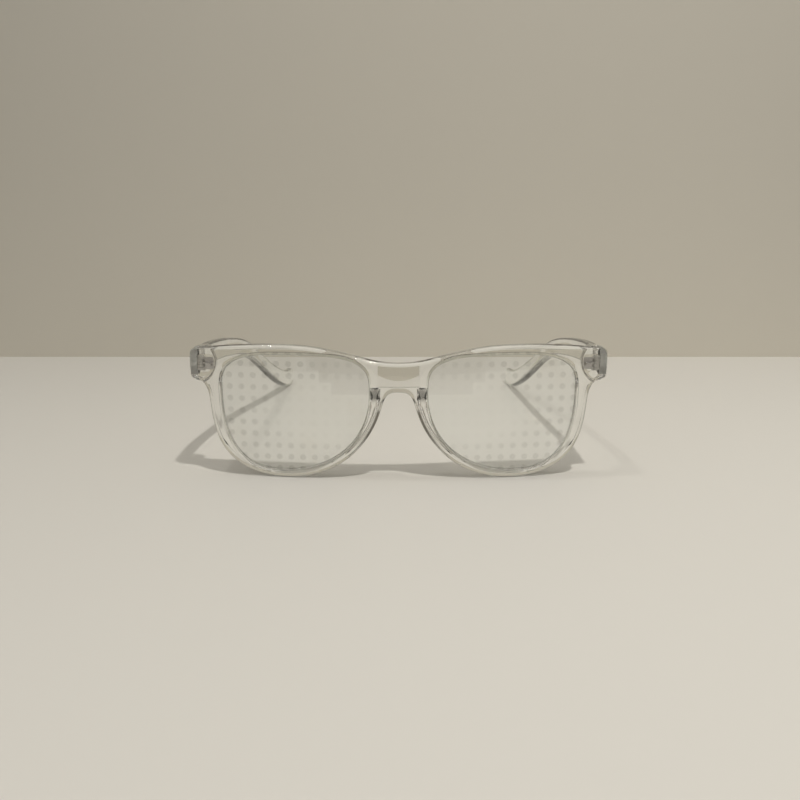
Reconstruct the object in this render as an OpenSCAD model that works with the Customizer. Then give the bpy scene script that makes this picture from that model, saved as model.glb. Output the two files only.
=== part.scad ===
// Clear moulded spectacle frame with diffraction film behind both lenses.
// X runs along the front, Y from the front to the temple tips, Z up from the table.
// Left and right are the wearer's, so the left side is at +X.

/* [Lens] */
// Width of one lens opening
lens_w = 52.6; // [50:0.2:55]
// Height of one lens opening
lens_h = 42.4; // [40:0.2:43.6]
// Gap between the two lens openings
bridge_w = 20.8; // [18:0.2:22]
// Thickness of the clear lens
lens_t = 1; // [0.8:0.1:1.2]
// Thickness of the diffraction film
film_t = 0.2; // [0.1:0.05:0.3]
// Depth of the groove that holds the lens
groove_depth = 0.9; // [0.6:0.1:1.1]

/* [Front] */
// Width over both end pieces
front_w = 148; // [146:1:154]
// Height of the front from the rims' bottoms to the brow
front_h = 48.2; // [47.4:0.2:50]
// Thickness of the rims
rim_t = 4.2; // [3.8:0.1:4.8]
// Rim below the lens
rim_bottom = 2.4; // [2:0.1:2.8]
// Radius that the front is bent to, seen from above
front_bend = 400; // [300:10:900]
// Top of the bridge below the brow
bridge_drop = 6.2; // [5:0.2:7]
// Height of the nose arch's top
arch_z = 31.7; // [30:0.1:33]
// Depth of the end pieces, front to mitre
end_depth = 14.4; // [13.8:0.1:15.4]
// Radius of the end block's inner wall round each hinge
block_r = 7.1; // [7:0.1:7.4]

/* [Nose] */
// How far the moulded pads stand behind the rims
pad_depth = 3.4; // [2.4:0.1:4]
// Radius of the hollow behind the bridge
scoop_r = 34; // [30:1:44]
// Depth of the hollow behind the bridge
scoop_depth = 0.9; // [0.6:0.1:1.1]

/* [Temples] */
// From the front's foremost line to the temple tips
overall_depth = 149.6; // [146:0.2:156]
// Thickness of a temple at its hinge
temple_t = 3.1; // [3:0.05:3.2]
// Height of a temple at its hinge
temple_h = 9.2; // [8.6:0.1:9.6]
// Distance that each temple leans in from hinge to tip
lean_in = 14; // [12:0.2:16]
// Gap between a temple and its end piece
mitre_gap = 0.15; // [0.1:0.05:0.3]

/* [Hinges] */
// Middle of the hinges below the brow
hinge_drop = 8; // [7.8:0.1:8.2]
// Height of one barrel
barrel_h = 0.92; // [0.84:0.02:0.94]
// Height taken by one barrel and the gap over it
barrel_pitch = 1; // [0.98:0.02:1.04]
// Outer radius of the barrels
barrel_r = 1.25; // [1.15:0.05:1.3]
// Radius of the screw's shank
screw_r = 0.6; // [0.5:0.05:0.65]
// Running clearance round the screw
screw_gap = 0.05; // [0.03:0.01:0.08]
// Thickness of the hinge leaves
leaf_t = 0.8; // [0.6:0.05:0.85]
// Height of the hinge leaves
leaf_h = 4.4; // [4:0.1:4.6]

/* [Hidden] */
$fn = 48;

plastic = [0.84, 0.87, 0.84, 0.55];
clear = [0.9, 0.93, 0.84, 0.4];
rainbow = [0.78, 0.8, 0.92, 0.4];
steel = [0.66, 0.66, 0.68];

// The lens outline is four quarters of superellipses round one centre.
lens_temporal_w = 0.41 * lens_w;
lens_nasal_w = lens_w - lens_temporal_w;
lens_up = 0.31 * lens_h;
lens_down = lens_h - lens_up;
lens_c = [bridge_w / 2 + lens_nasal_w, rim_bottom + lens_down];
square_temporal_top = 2.8;
square_nasal_top = 3.5;
square_nasal_bottom = 2.15;
square_temporal_bottom = 2.6;

// Places on the front
half_w = front_w / 2;
bridge_top = front_h - bridge_drop;
past_middle = 4;
edge_r = 0.9;
lens_edge_r = 0.7;
steps_per_point = 2;
fit_gap = 0.03;

// The lens and its film lie in the middle of the rim's thickness.
lens_front = (rim_t - lens_t - film_t) / 2;
film_front = lens_front + lens_t;
film_back = film_front + film_t;

// Hinge places on the left side
hinge_x = half_w - 3.7;
hinge_y = end_depth + mitre_gap / 2;
hinge_z = front_h - hinge_drop;
barrels = 5;
stack_h = barrels * barrel_pitch;
stack_bottom = hinge_z - stack_h / 2;
stack_top = stack_bottom + stack_h - barrel_pitch + barrel_h;
barrel_room = 0.1;
block_c = [half_w - 1.8, hinge_z + 0.4];
front_leaf_w = 4.6;
tongue_d = 3;
temple_leaf_len = 9.5;
temple_leaf_x = half_w - temple_t - hinge_x;
anchor = [4, 7.5];
anchor_d = 1.1;
head_r = 1.1;
head_h = 0.55;

function unit(v) = v / norm(v);
function turn_right(v) = [v[1], -v[0]];
// Y of a layer that lies a depth d behind the front's bent face
function layer_y(x, d) = front_bend - sqrt(pow(front_bend - d, 2) - pow(x, 2));
function rise(x, lo, hi) = let (t = max(0, min(1, (x - lo) / (hi - lo)))) t * t * (3 - 2 * t);

// The lens opening at angle a round lens_c, as [x, z]
function opening_reach(a) =
  let (c = cos(a), s = sin(a))
  let (w = c > 0 ? lens_temporal_w : lens_nasal_w, h = s > 0 ? lens_up : lens_down)
  let (top = c > 0 ? square_temporal_top : square_nasal_top)
  let (bottom = c > 0 ? square_temporal_bottom : square_nasal_bottom)
  let (n = s > 0 ? top : bottom)
  pow(pow(abs(c) / w, n) + pow(abs(s) / h, n), -1 / n);
function opening(a) = lens_c + opening_reach(a) * [cos(a), sin(a)];
function opening_out(a) = turn_right(unit(opening(a + 0.5) - opening(a - 0.5)));
function beside_lens(a, w) = opening(a) + w * opening_out(a);
function angle_of(q) = atan2(q[1] - lens_c[1], q[0] - lens_c[0]);

// Cubic B-splines on rows of any length
function blend(a, b, c, d, t) =
  (pow(1 - t, 3) * a + (3 * pow(t, 3) - 6 * pow(t, 2) + 4) * b
  + (1 + 3 * t + 3 * pow(t, 2) - 3 * pow(t, 3)) * c + pow(t, 3) * d) / 6;
function ring_curve(rows, steps) = let (n = len(rows))
  [for (i = [0 : n - 1], k = [0 : steps - 1])
    blend(rows[i], rows[(i + 1) % n], rows[(i + 2) % n], rows[(i + 3) % n], k / steps)];
function open_curve(rows, steps) =
  let (n = len(rows))
  let (all = concat([2 * rows[0] - rows[1]], rows, [2 * rows[n - 1] - rows[n - 2]]))
  concat([for (i = [0 : n - 2], k = [0 : steps - 1])
    blend(all[i], all[i + 1], all[i + 2], all[i + 3], k / steps)], [rows[n - 1]]);

// Outline of the front's left half, anticlockwise as the viewer sees it, as [x, z]
end_bottom = front_h - 13.1;
end_piece = [
  [half_w - 4.6, end_bottom - 0.5], [half_w - 1.9, end_bottom + 0.1], [half_w - 0.2, end_bottom + 0.5],
  [half_w, end_bottom + 1.9], [half_w, end_bottom + 4.6], [half_w, end_bottom + 7.6],
  [half_w - 0.1, front_h - 3.5], [half_w - 0.7, front_h - 2.1], [half_w - 3.2, front_h - 1.7]
];
brow = [
  [66.5, front_h - 1.3], [60, front_h - 0.6], [53, front_h - 0.2], [46, front_h],
  [37, front_h], [29, front_h - 0.7], [21.5, front_h - 2.1], [15, front_h - 3.7]
];
bridge = [
  [10, bridge_top + 1.1], [5, bridge_top + 0.2], [0, bridge_top], [-past_middle, bridge_top],
  [-past_middle - 1, bridge_top - 5], [-past_middle, arch_z], [0, arch_z], [2.6, arch_z],
  [4.6, arch_z - 1.4], [5.7, arch_z - 4.6]
];
// Rim width round the rest of the lens, each row an angle and the width there
rim_widths = [
  [196, 4.3], [205, 3.8], [216, 3.35], [228, 3.2], [241, 3.1], [255, 2.95], [270, 2.6],
  [284, 2.5], [297, 3], [309, 4.1], [321, 4.4], [334, 4.35], [347, 4.4], [358, 4.6]
];
rim = [for (r = rim_widths) beside_lens(r[0], r[1])];
outline = ring_curve(concat(end_piece, brow, bridge, rim), steps_per_point);
// Angles round the lens at which the front's sections lie, without those that nearly repeat
section_angles = let (n = len(outline))
  [for (i = [0 : n - 1]) let (a = angle_of(outline[i]), next = angle_of(outline[(i + 1) % n]))
    if (abs(a - next) > 1.5) a];

// Radius of the outer back edge, nearly none where the end block goes on behind it
function back_r(p) = let (off = norm(p - block_c), beyond = rise(p[0], block_c[0] - 1.5, block_c[0]))
  0.05 + (edge_r - 0.05) * max(rise(off, block_r, block_r + 2) - beyond, 0);

// Rows that round a section's corner at p, drawn in along inward by up to r
function corner(p, inward, y, r, angles) =
  [for (t = angles)
    let (e = p + abs(r) * (1 - sin(t)) * inward)
    [e[0], y + r * (1 - cos(t)), e[1]]];

// Section of the front at outline point i, as [x, y, z] rows from its outer front edge round the back
function front_section(i) =
  let (n = len(outline), q = outline[i])
  let (q_in = -turn_right(unit(outline[(i + 1) % n] - outline[(i + n - 1) % n])))
  let (a = angle_of(q), p = opening(a), p_out = opening_out(a))
  let (q_front = layer_y(q[0], 0), q_back = layer_y(q[0], rim_t))
  let (p_front = layer_y(p[0], 0), p_back = layer_y(p[0], rim_t))
  let (groove = p + groove_depth * p_out)
  let (lip_front = layer_y(p[0], lens_front - fit_gap), lip_back = layer_y(p[0], film_back + fit_gap))
  let (groove_front = layer_y(groove[0], lens_front - fit_gap))
  let (groove_back = layer_y(groove[0], film_back + fit_gap))
  concat(
    corner(q, q_in, q_front, edge_r, [0 : 45 : 90]),
    corner(q, q_in, q_back, -back_r(q), [90 : -45 : 0]),
    corner(p, p_out, p_back, -lens_edge_r, [0 : 45 : 90]),
    [[p[0], lip_back, p[1]], [groove[0], groove_back, groove[1]]],
    [[groove[0], groove_front, groove[1]], [p[0], lip_front, p[1]]],
    corner(p, p_out, p_front, lens_edge_r, [90 : -45 : 0])
  );

// Temple stations: distance behind the mitre, share of the lean, share of the way up from the tip,
// height, thickness
temple_run = overall_depth - end_depth - mitre_gap;
tip_r = 4.3;
temple_up = hinge_z + 0.3 - tip_r;
temple_stations = [
  [0, 0, 1, temple_h, temple_t],
  [12, 0, 1, temple_h - 0.5, temple_t],
  [26, 0.11, 0.983, temple_h - 1.5, temple_t + 0.1],
  [41, 0.24, 0.925, temple_h - 2.1, temple_t + 0.1],
  [54, 0.35, 0.85, temple_h - 2.4, temple_t + 0.1],
  [66, 0.46, 0.726, temple_h - 2.5, temple_t + 0.2],
  [80, 0.58, 0.517, temple_h - 2.4, temple_t + 0.2],
  [95, 0.71, 0.301, temple_h - 1.8, temple_t + 0.2],
  [110, 0.84, 0.119, temple_h - 1, temple_t + 0.2],
  [temple_run - 13, 0.93, 0.017, 2 * tip_r, temple_t],
  [temple_run - tip_r, 1, 0, 2 * tip_r, temple_t]
];
temple_line = open_curve(temple_stations, 3);
tip_angles = [30, 55, 75, 86];

// Rounded section across a temple, from its middle c, direction, height, thickness and corner radius
function temple_section(c, along, h, t, r) =
  let (up = unit([0, -along[2], along[1]]), side = cross(along, up))
  [for (k = [[1, 1, 0], [-1, 1, 90], [-1, -1, 180], [1, -1, 270]], a = [0, 45, 90])
    c + (k[0] * (t / 2 - r) + r * cos(k[2] + a)) * side
    + (k[1] * (h / 2 - r) + r * sin(k[2] + a)) * up];
function temple_middle(s) =
  [half_w - temple_t / 2 - s[1] * lean_in, end_depth + mitre_gap + s[0], tip_r + s[2] * temple_up];
function temple_along(i) =
  unit(temple_middle(temple_line[min(i + 1, len(temple_line) - 1)])
  - temple_middle(temple_line[max(i - 1, 0)]));
temple_sections = let (last = len(temple_line) - 1, tip = temple_line[last]) concat(
  [for (i = [0 : last]) let (s = temple_line[i])
    temple_section(temple_middle(s), temple_along(i), s[3], s[4], 0.9 + 0.4 * rise(s[0], 30, 80))],
  [for (a = tip_angles)
    temple_section(temple_middle(tip) + tip_r * sin(a) * temple_along(last), temple_along(last),
      tip[3] * cos(a), tip[4] * sqrt(cos(a)), 0.45 * min(tip[3] * cos(a), tip[4] * sqrt(cos(a))))]
);

// Skin over closed sections that follow one another, closed into a ring or capped at both ends
module skin(rows, ring = false) {
  n = len(rows);
  m = len(rows[0]);
  sides = [for (i = [0 : ring ? n - 1 : n - 2], j = [0 : m - 1])
    let (a = i * m + j, b = i * m + (j + 1) % m)
    let (c = (i + 1) % n * m + (j + 1) % m, d = (i + 1) % n * m + j)
    each [[a, b, c], [a, c, d]]];
  ends = ring ? [] : [[for (j = [m - 1 : -1 : 0]) j], [for (j = [0 : m - 1]) (n - 1) * m + j]];
  polyhedron(points = [for (r = rows) each r], faces = concat(sides, ends));
}

// Moves the model from its design place to the middle of its own footprint
module placed() {
  translate([0, -overall_depth / 2, 0]) children();
}

module on_right() {
  mirror([1, 0, 0]) children();
}

module at_hinge() {
  translate([hinge_x, hinge_y, 0]) children();
}

module block(lo, hi) {
  translate(lo) cube(hi - lo);
}

// Cylinder along Y from y0 to y1 round c, which is [x, z]
module rod_y(c, r, y0, y1) {
  translate([c[0], y1, c[1]]) rotate([90, 0, 0]) cylinder(r = r, h = y1 - y0);
}

// Moulded pad down the nose side of the left rim, rooted behind the lens groove
module nose_pad() {
  pad_line = [beside_lens(181, 2.1), beside_lens(196, 2.2), beside_lens(211, 1.9)];
  reach = [0.95 * pad_depth, pad_depth, 0.4 * pad_depth];
  r = 1.7;
  root = film_back + fit_gap + 0.35;
  intersection() {
    block([0, root, 0], [bridge_w, 2 * end_depth, front_h]);
    for (i = [0 : 1]) hull() for (k = [i, i + 1], top = [0, 1]) {
      back = layer_y(pad_line[k][0], rim_t);
      translate([pad_line[k][0], back - r + top * reach[k], pad_line[k][1]]) sphere(r = r, $fn = 16);
    }
  }
}

// Block behind the end piece, along its outline outside and round on its inner side
module end_block() {
  inset = 0.1;
  start = layer_y(half_w, rim_t / 3);
  intersection() {
    translate([0, end_depth, 0]) rotate([90, 0, 0])
      linear_extrude(end_depth - start) offset(delta = -inset) polygon(outline);
    union() {
      rod_y(block_c, block_r, start - 1, end_depth + 1);
      block([block_c[0], start - 1, end_bottom - 1], [half_w + 1, end_depth + 1, front_h]);
    }
  }
}

// Hollow over the nose arch: its depth runs out towards the bridge's top
module bridge_hollow() {
  low = arch_z + 1.8;
  back = layer_y(0, rim_t) - scoop_depth;
  half = 0.35 * bridge_w;
  translate([-half, back + scoop_r, low]) rotate([0, 90, 0])
    intersection() {
      cylinder(r = scoop_r, h = 2 * half, $fn = 360);
      translate([-scoop_r, -scoop_r - 1, -1]) cube([scoop_r, scoop_r, 2 * half + 2]);
    }
  block([-0.22 * bridge_w, back, arch_z - 2], [0.22 * bridge_w, end_depth, low]);
}

// Front leaf's plate and anchor tongue, grown by gap to cut their seat
module front_leaf_plate(gap = 0) {
  corner_r = 0.6;
  back = end_depth - hinge_y;
  hull() for (x = [-front_leaf_w + corner_r, -barrel_r - barrel_room - corner_r], z = [-1, 1])
    rod_y([x, hinge_z + z * (leaf_h / 2 - corner_r)], corner_r + gap, back - leaf_t - gap, back + gap);
  hull() for (deep = [0, 1], x = [-front_leaf_w + 0.5 + 0.5 * deep, -1.8 - 0.3 * deep])
    translate([x, back - leaf_t / 2 - deep * tongue_d, hinge_z])
      cylinder(r = 0.35 + gap, h = leaf_t + 2 * gap, center = true);
}

// Room for the barrels and the screw's head, and the gap left open where the temple turns
module barrel_recess(lo_x, lo_y, hi_x, hi_y) {
  block([lo_x, lo_y, stack_bottom - barrel_room],
    [hi_x, hi_y, stack_top + head_h + barrel_room]);
}

module barrel(i, web_lo, web_hi) {
  z = stack_bottom + i * barrel_pitch;
  translate([0, 0, z]) cylinder(r = barrel_r, h = barrel_h);
  block([web_lo[0], web_lo[1], z], [web_hi[0], web_hi[1], z + barrel_h]);
}

module screw_bore() {
  translate([0, 0, stack_bottom - 1]) cylinder(r = screw_r + screw_gap, h = stack_h + 2);
}

module front_half() {
  room = barrel_r + barrel_room;
  difference() {
    union() {
      skin([for (i = [len(outline) - 1 : -1 : 0]) front_section(i)], ring = true);
      end_block();
      nose_pad();
    }
    bridge_hollow();
    at_hinge() {
      front_leaf_plate(fit_gap);
      barrel_recess(-room - 0.25, -room, room, 2);
    }
  }
}

module front_frame() {
  left_side = [[0, -1, -1], [front_w, 2 * end_depth, front_h + 1]];
  color(plastic) placed() {
    intersection() {
      front_half();
      block(left_side[0], left_side[1]);
    }
    on_right() intersection() {
      front_half();
      block(left_side[0], left_side[1]);
    }
  }
}

// A layer between two depths behind the front's face, cut to the lens outline grown by w
module lens_layer(front, back, w) {
  outer = [for (a = section_angles) beside_lens(a, w)];
  intersection() {
    translate([0, 2 * end_depth, 0]) rotate([90, 0, 0]) linear_extrude(3 * end_depth) polygon(outer);
    translate([0, front_bend, -1]) difference() {
      cylinder(r = front_bend - front, h = front_h + 2, $fn = 360);
      translate([0, 0, -1]) cylinder(r = front_bend - back, h = front_h + 4, $fn = 360);
    }
  }
}

module lens() {
  color(clear) placed() lens_layer(lens_front, film_front, groove_depth - 0.1);
}

module film() {
  color(rainbow) placed() lens_layer(film_front, film_back, groove_depth - 0.2);
}

module front_leaf() {
  back = end_depth - hinge_y;
  color(steel) placed() at_hinge() difference() {
    union() {
      front_leaf_plate();
      for (i = [0 : 2 : barrels - 1])
        barrel(i, [-barrel_r - barrel_room - 0.2, back - leaf_t], [0, back]);
    }
    screw_bore();
  }
}

module temple_leaf() {
  x0 = temple_leaf_x;
  x1 = x0 + leaf_t;
  start = barrel_r + barrel_room;
  color(steel) placed() at_hinge() difference() {
    union() {
      block([x0, start, hinge_z - leaf_h / 2], [x1, temple_leaf_len, hinge_z + leaf_h / 2]);
      block([x1, anchor[0], hinge_z - leaf_t / 2], [x1 + anchor_d, anchor[1], hinge_z + leaf_t / 2]);
      for (i = [1 : 2 : barrels - 2])
        barrel(i, [x0 - 0.15, 0], [barrel_r, start + 0.2]);
    }
    screw_bore();
  }
}

module hinge_screw() {
  slot_w = 0.3;
  color(steel) placed() at_hinge() difference() {
    union() {
      translate([0, 0, stack_bottom]) cylinder(r = screw_r, h = stack_top - stack_bottom);
      translate([0, 0, stack_top]) cylinder(r = head_r, h = head_h);
    }
    block([-slot_w / 2, -head_r - 1, stack_top + head_h / 2], [slot_w / 2, head_r + 1, stack_top + 2]);
  }
}

module temple() {
  x1 = temple_leaf_x + leaf_t + fit_gap;
  start = barrel_r + barrel_room;
  color(plastic) placed() difference() {
    skin(temple_sections);
    at_hinge() {
      barrel_recess(-3, -2, x1 + 0.05, start + 0.3);
      block([-3, start, hinge_z - leaf_h / 2 - fit_gap],
        [x1, temple_leaf_len + fit_gap, hinge_z + leaf_h / 2 + fit_gap]);
      block([x1 - 0.2, anchor[0] - fit_gap, hinge_z - leaf_t / 2 - fit_gap],
        [x1 + anchor_d, anchor[1] + fit_gap, hinge_z + leaf_t / 2 + fit_gap]);
    }
  }
}

front_frame();
lens();  // lens_left
on_right() lens();  // lens_right
film();  // film_left
on_right() film();  // film_right
front_leaf();  // front_leaf_left
on_right() front_leaf();  // front_leaf_right
hinge_screw();  // hinge_screw_left
on_right() hinge_screw();  // hinge_screw_right
temple();  // temple_left
on_right() temple();  // temple_right
temple_leaf();  // temple_leaf_left
on_right() temple_leaf();  // temple_leaf_right
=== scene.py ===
"""Dresses a pair of clear diffraction glasses that stand open on a pale table.

Sizes are millimetres in the design frame: X along the front, Y from the front's foremost line
to the temple tips, Z up from the table. Left is the wearer's left, which is +X. The studio is
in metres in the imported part's frame, where Y is 0 in the middle of the depth.
"""

import logging
import math
from collections.abc import Sequence
from dataclasses import dataclass
from enum import Enum

import bmesh
import bpy
import numpy as np
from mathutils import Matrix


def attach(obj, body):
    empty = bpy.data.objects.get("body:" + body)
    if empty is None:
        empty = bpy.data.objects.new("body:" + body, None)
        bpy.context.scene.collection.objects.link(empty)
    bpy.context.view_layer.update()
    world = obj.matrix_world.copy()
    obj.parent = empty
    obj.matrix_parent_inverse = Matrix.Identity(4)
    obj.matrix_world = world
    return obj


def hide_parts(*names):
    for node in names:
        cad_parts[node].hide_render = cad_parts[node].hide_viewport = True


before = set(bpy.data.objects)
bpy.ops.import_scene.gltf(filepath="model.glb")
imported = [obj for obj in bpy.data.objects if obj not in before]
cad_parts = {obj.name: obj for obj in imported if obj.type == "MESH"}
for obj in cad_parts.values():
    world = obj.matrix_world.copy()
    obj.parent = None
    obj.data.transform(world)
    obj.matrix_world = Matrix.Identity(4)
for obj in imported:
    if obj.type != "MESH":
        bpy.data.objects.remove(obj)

MM = 0.001
OVERALL_DEPTH = 149.6
HALF_WIDTH = 74.0
SAME_POINT = 1e-6  # metres within which two points of a finished mesh are one
Colour = tuple[float, float, float]
Span = tuple[float, float]
Rows = list[np.ndarray]
log = logging.getLogger("glasses")


class Side(Enum):
    """The wearer's two sides, with the sign of X there."""

    LEFT = 1
    RIGHT = -1

    @property
    def word(self) -> str:
        """The side's name as the nodes and bodies use it."""
        return self.name.lower()


class Cut(Enum):
    """What a carving tool does to the piece that it meets."""

    JOIN = "UNION"
    TAKE_AWAY = "DIFFERENCE"


# Shader maths


class Value:
    """A shader socket with arithmetic: an expression on values adds its Math nodes."""

    def __init__(self, shader: "Shader", socket: bpy.types.NodeSocket) -> None:
        """Wraps a socket of the shader under construction."""
        self.shader = shader
        self.socket = socket

    def math(self, operation: str, *others: "Value | float") -> "Value":
        """Runs a Math node on this value and the others, in that order."""
        return self.shader.math(operation, self, *others)

    def __add__(self, other: "Value | float") -> "Value":
        """The sum of both, also with the number first."""
        return self.math("ADD", other)

    def __sub__(self, other: "Value | float") -> "Value":
        """This value less the other."""
        return self.math("SUBTRACT", other)

    def __rsub__(self, other: float) -> "Value":
        """A number less this value."""
        return self.shader.math("SUBTRACT", other, self)

    def __neg__(self) -> "Value":
        """This value with its sign turned."""
        return self * -1.0

    def __mul__(self, other: "Value | float") -> "Value":
        """The product of both, also with the number first."""
        return self.math("MULTIPLY", other)

    def __truediv__(self, other: "Value | float") -> "Value":
        """This value divided by the other."""
        return self.math("DIVIDE", other)

    def __rtruediv__(self, other: float) -> "Value":
        """A number divided by this value."""
        return self.shader.math("DIVIDE", other, self)

    __radd__ = __add__
    __rmul__ = __mul__

    def clamped(self) -> "Value":
        """This value kept between 0 and 1."""
        return self.math("MINIMUM", 1.0).math("MAXIMUM", 0.0)

    def ramp(self, low: float, high: float) -> "Value":
        """A smooth rise from 0 where this value is low to 1 where it is high."""
        t = ((self - low) / (high - low)).clamped()
        return t * t * (3.0 - t * 2.0)

    def within(self, come: Span, go: Span) -> "Value":
        """A smooth rise from 0 to 1 over one span of this value, and a fall back to 0 over another."""
        return self.ramp(*come) * (1.0 - self.ramp(*go))


class Shader:
    """A material, or the room's light, under construction, with one method that adds any node."""

    def __init__(self, owner: bpy.types.Material | bpy.types.World) -> None:
        """Clears the owner's nodes and adds its output.

        Args:
            owner: the material or world.
        """
        self.owner = owner
        owner.use_nodes = True
        self.tree = owner.node_tree
        self.tree.nodes.clear()
        kind = "World" if isinstance(owner, bpy.types.World) else "Material"
        self.end = self.tree.nodes.new("ShaderNodeOutput" + kind)

    @classmethod
    def of_material(cls, name: str) -> "Shader":
        """Starts a new material of that name."""
        return cls(bpy.data.materials.new(name))

    def node(self, kind: str, settings: dict | None = None, sockets: dict | None = None) -> bpy.types.Node:
        """Adds a node.

        Args:
            kind: the node's type without its ShaderNode prefix.
            settings: what is set on the node itself, before its sockets.
            sockets: values or links of its input sockets, by name or number.

        Returns:
            The node.
        """
        made = self.tree.nodes.new("ShaderNode" + kind)
        for name, setting in (settings or {}).items():
            setattr(made, name, setting)
        for name, value in (sockets or {}).items():
            if isinstance(value, Value):
                self.tree.links.new(value.socket, made.inputs[name])
            else:
                made.inputs[name].default_value = value
        return made

    def value(self, kind: str, settings: dict | None = None, sockets: dict | None = None,
              output: str | int = 0) -> Value:
        """Adds a node and wraps one of its outputs; the other arguments are those of node()."""
        return Value(self, self.node(kind, settings, sockets).outputs[output])

    def math(self, operation: str, *operands: Value | float) -> Value:
        """Runs a Math node's operation on some operands."""
        return self.value("Math", {"operation": operation}, dict(enumerate(operands)))

    def place(self) -> tuple[Value, Value, Value]:
        """Finds where a point lies on the object.

        Returns:
            Its X, Y and Z in millimetres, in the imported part's frame.
        """
        coordinates = self.value("TexCoord", output="Object")
        parts = self.node("SeparateXYZ", None, {0: coordinates})
        return tuple(Value(self, parts.outputs[i]) / MM for i in range(3))

    def noise(self, scale: float, detail: float = 2.0) -> Value:
        """Noise over the object, scale being its patches per metre."""
        return self.value("TexNoise", None, {
            "Vector": self.value("TexCoord", output="Object"), "Scale": scale, "Detail": detail})

    def mix(self, factor: Value | float, first: Value | Colour, second: Value | Colour) -> Value:
        """Mixes two colours.

        Args:
            factor: share of the second colour, from 0 to 1.
            first: the first colour.
            second: the second colour.

        Returns:
            The mixed colour.
        """
        colours = [c if isinstance(c, Value) else (*c, 1.0) for c in (first, second)]
        sockets = {0: factor, 6: colours[0], 7: colours[1]}
        return self.value("Mix", {"data_type": "RGBA"}, sockets, 2)

    def finish(self, surface: bpy.types.NodeSocket) -> bpy.types.Material | bpy.types.World:
        """Links the last shader to the output and returns the material or world."""
        self.tree.links.new(surface, self.end.inputs["Surface"])
        return self.owner


# Finishes


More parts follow.
